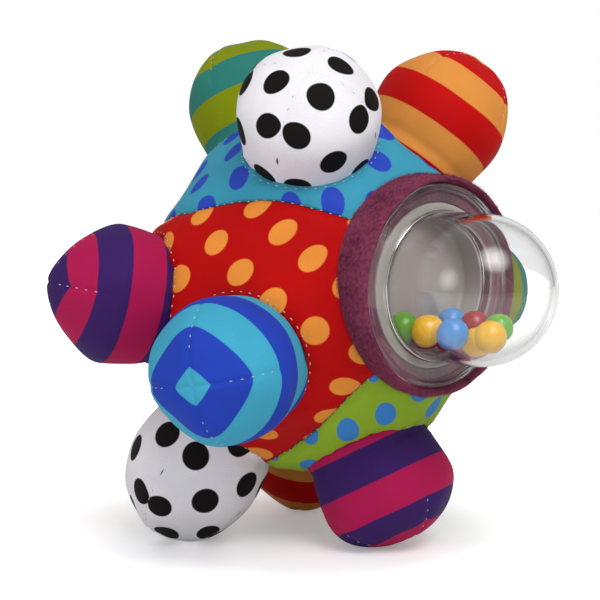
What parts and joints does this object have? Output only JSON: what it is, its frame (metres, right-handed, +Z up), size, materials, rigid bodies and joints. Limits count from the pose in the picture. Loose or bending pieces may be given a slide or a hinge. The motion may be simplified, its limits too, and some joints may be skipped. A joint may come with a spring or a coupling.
{
  "type": "rattle ball",
  "caption": "Stuffed cloth ball for a baby with padded knobs all round and a clear rattle dome of loose beads in a velour collar.",
  "frame": {"origin": "on the floor under the middle of the ball's outline, where it stands on three of its knobs", "axes": "+Z up; +Y away from the front, which shows the dome on the right; +X to the right"},
  "size_m": [0.1604, 0.1616, 0.1598],
  "materials": {
    "fibre_fill": "matte",
    "teal_cloth": "satin",
    "red_cloth": "satin",
    "lime_cloth": "satin",
    "purple_cloth": "satin",
    "spotted_cloth": "satin",
    "orange_red_cloth": "satin",
    "lime_teal_cloth": "satin",
    "magenta_purple_cloth": "satin",
    "blue_turquoise_cloth": "satin",
    "maroon_velour": "matte",
    "pale_plastic": "satin",
    "clear_plastic": "gloss",
    "green_bead": "gloss",
    "yellow_bead": "gloss",
    "blue_bead": "gloss",
    "red_bead": "gloss"
  },
  "bodies": {
    "ball": {"stuffing": "fibre_fill", "velour_collar": "maroon_velour", "dome_base": "pale_plastic", "clear_dome": "clear_plastic", "gore_teal": "teal_cloth", "gore_red": "red_cloth", "gore_lime": "lime_cloth", "gore_purple": "purple_cloth", "knob_white_spotted_top": "spotted_cloth", "knob_orange_red": "orange_red_cloth", "knob_lime_teal_top": "lime_teal_cloth", "knob_magenta_purple_side": "magenta_purple_cloth", "knob_blue_turquoise_front": "blue_turquoise_cloth", "knob_lime_teal_side": "lime_teal_cloth", "knob_blue_turquoise_back": "blue_turquoise_cloth", "knob_white_spotted_back": "spotted_cloth", "foot_knob_white_spotted": "spotted_cloth", "foot_knob_magenta_purple": "magenta_purple_cloth", "foot_knob_orange_red": "orange_red_cloth"},
    "bead_green_front": {"bead_green_front": "green_bead"},
    "bead_yellow_front": {"bead_yellow_front": "yellow_bead"},
    "bead_blue_front": {"bead_blue_front": "blue_bead"},
    "bead_yellow_end": {"bead_yellow_end": "yellow_bead"},
    "bead_red_inner": {"bead_red_inner": "red_bead"},
    "bead_red_middle": {"bead_red_middle": "red_bead"},
    "bead_yellow_middle": {"bead_yellow_middle": "yellow_bead"},
    "bead_blue_back": {"bead_blue_back": "blue_bead"},
    "bead_red_back": {"bead_red_back": "red_bead"},
    "bead_green_back": {"bead_green_back": "green_bead"}
  },
  "joints": [
    {"name": "green_front_hop", "type": "slide", "parent": "ball", "child": "bead_green_front", "axis": [0, 0, 1], "range_m": [0, 0.0234]},
    {"name": "yellow_front_hop", "type": "slide", "parent": "ball", "child": "bead_yellow_front", "axis": [0, 0, 1], "range_m": [0, 0.0234]},
    {"name": "blue_front_hop", "type": "slide", "parent": "ball", "child": "bead_blue_front", "axis": [0, 0, 1], "range_m": [0, 0.0234]},
    {"name": "yellow_end_hop", "type": "slide", "parent": "ball", "child": "bead_yellow_end", "axis": [0, 0, 1], "range_m": [0, 0.0234]},
    {"name": "red_inner_hop", "type": "slide", "parent": "ball", "child": "bead_red_inner", "axis": [0, 0, 1], "range_m": [0, 0.0304]},
    {"name": "red_middle_hop", "type": "slide", "parent": "ball", "child": "bead_red_middle", "axis": [0, 0, 1], "range_m": [0, 0.0304]},
    {"name": "yellow_middle_hop", "type": "slide", "parent": "ball", "child": "bead_yellow_middle", "axis": [0, 0, 1], "range_m": [0, 0.0304]},
    {"name": "blue_back_hop", "type": "slide", "parent": "ball", "child": "bead_blue_back", "axis": [0, 0, 1], "range_m": [0, 0.0234]},
    {"name": "red_back_hop", "type": "slide", "parent": "ball", "child": "bead_red_back", "axis": [0, 0, 1], "range_m": [0, 0.0234]},
    {"name": "green_back_hop", "type": "slide", "parent": "ball", "child": "bead_green_back", "axis": [0, 0, 1], "range_m": [0, 0.0234]}
  ]
}
